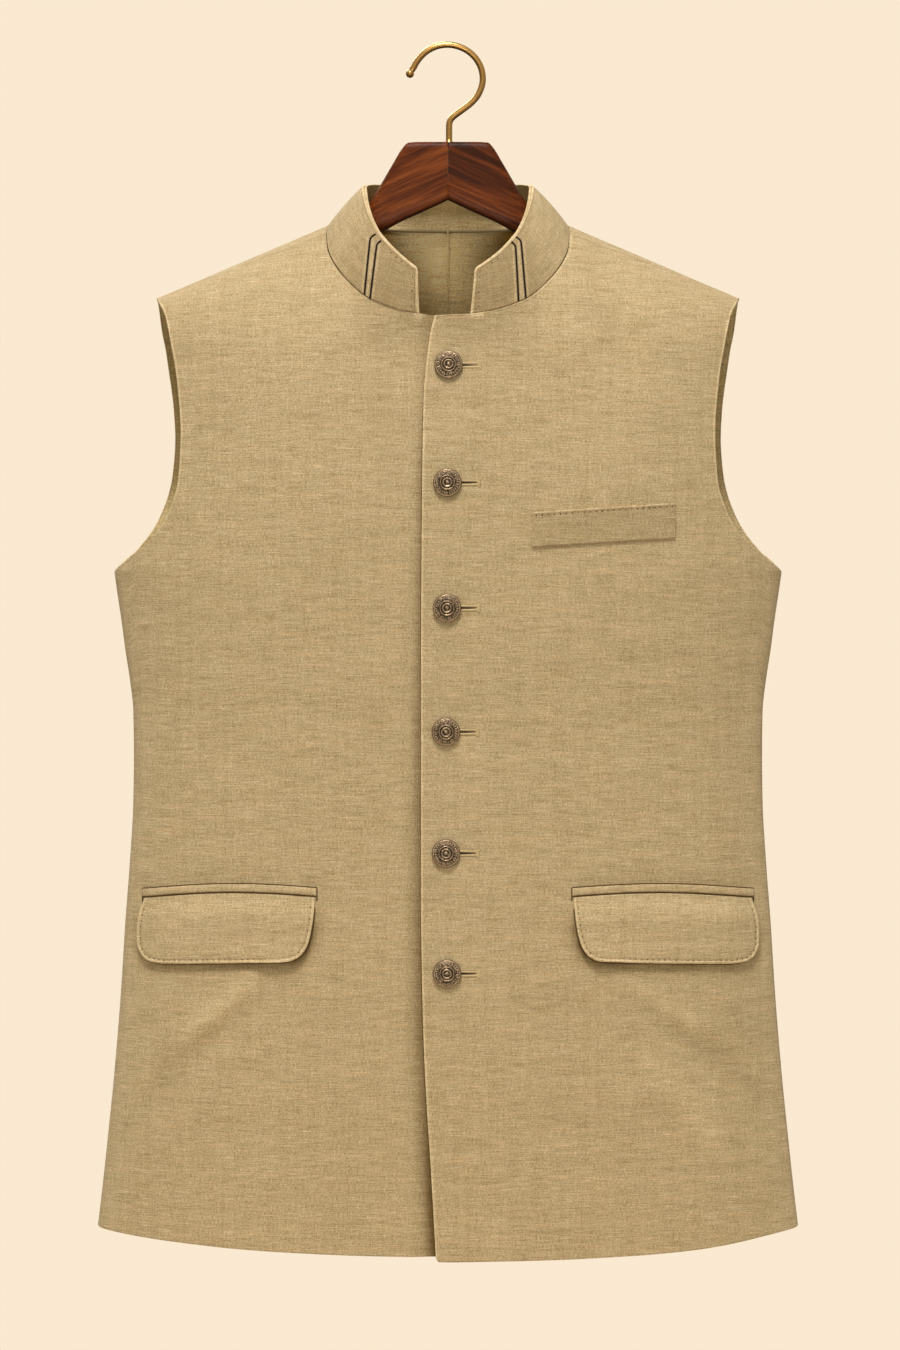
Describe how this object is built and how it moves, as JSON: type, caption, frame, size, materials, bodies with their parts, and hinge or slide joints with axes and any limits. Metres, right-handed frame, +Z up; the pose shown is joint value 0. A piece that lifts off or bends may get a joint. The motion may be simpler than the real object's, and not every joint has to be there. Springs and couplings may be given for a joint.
{
  "type": "sleeveless nehru jacket on wooden hanger",
  "caption": "Sleeveless nehru jacket with a stand collar, a buttoned front, a chest welt and flap pockets, hung on a wooden hanger with a brass hook.",
  "frame": {"origin": "underside of the hook's crown, where the rail that holds the hanger touches it", "axes": "+Z up, the front of the jacket faces -Y, +X to the wearer's left, which is the viewer's right"},
  "size_m": [0.5182, 0.1278, 0.8942],
  "materials": {
    "khaki_linen": "matt plain weave with fine slubs",
    "dark_piping": "matt dark cord",
    "aged_bronze": "antiqued bronze with worn high spots",
    "walnut": "dark reddish brown, satin lacquer",
    "brass": "polished brass wire"
  },
  "bodies": {
    "root": {"front_left": "khaki_linen", "front_right": "khaki_linen", "back_left": "khaki_linen", "back_right": "khaki_linen", "collar_outer": "khaki_linen", "collar_inner": "khaki_linen", "piping_left_inner": "dark_piping", "piping_left_outer": "dark_piping", "piping_right_inner": "dark_piping", "piping_right_outer": "dark_piping", "chest_welt": "khaki_linen", "flap_left": "khaki_linen", "flap_right": "khaki_linen", "flap_jet_left": "khaki_linen", "flap_jet_right": "khaki_linen", "button_1": "aged_bronze", "button_2": "aged_bronze", "button_3": "aged_bronze", "button_4": "aged_bronze", "button_5": "aged_bronze", "button_6": "aged_bronze", "hanger_arm_left": "walnut", "hanger_arm_right": "walnut", "hook_ferrule": "brass", "hook": "brass"}
  },
  "joints": []
}
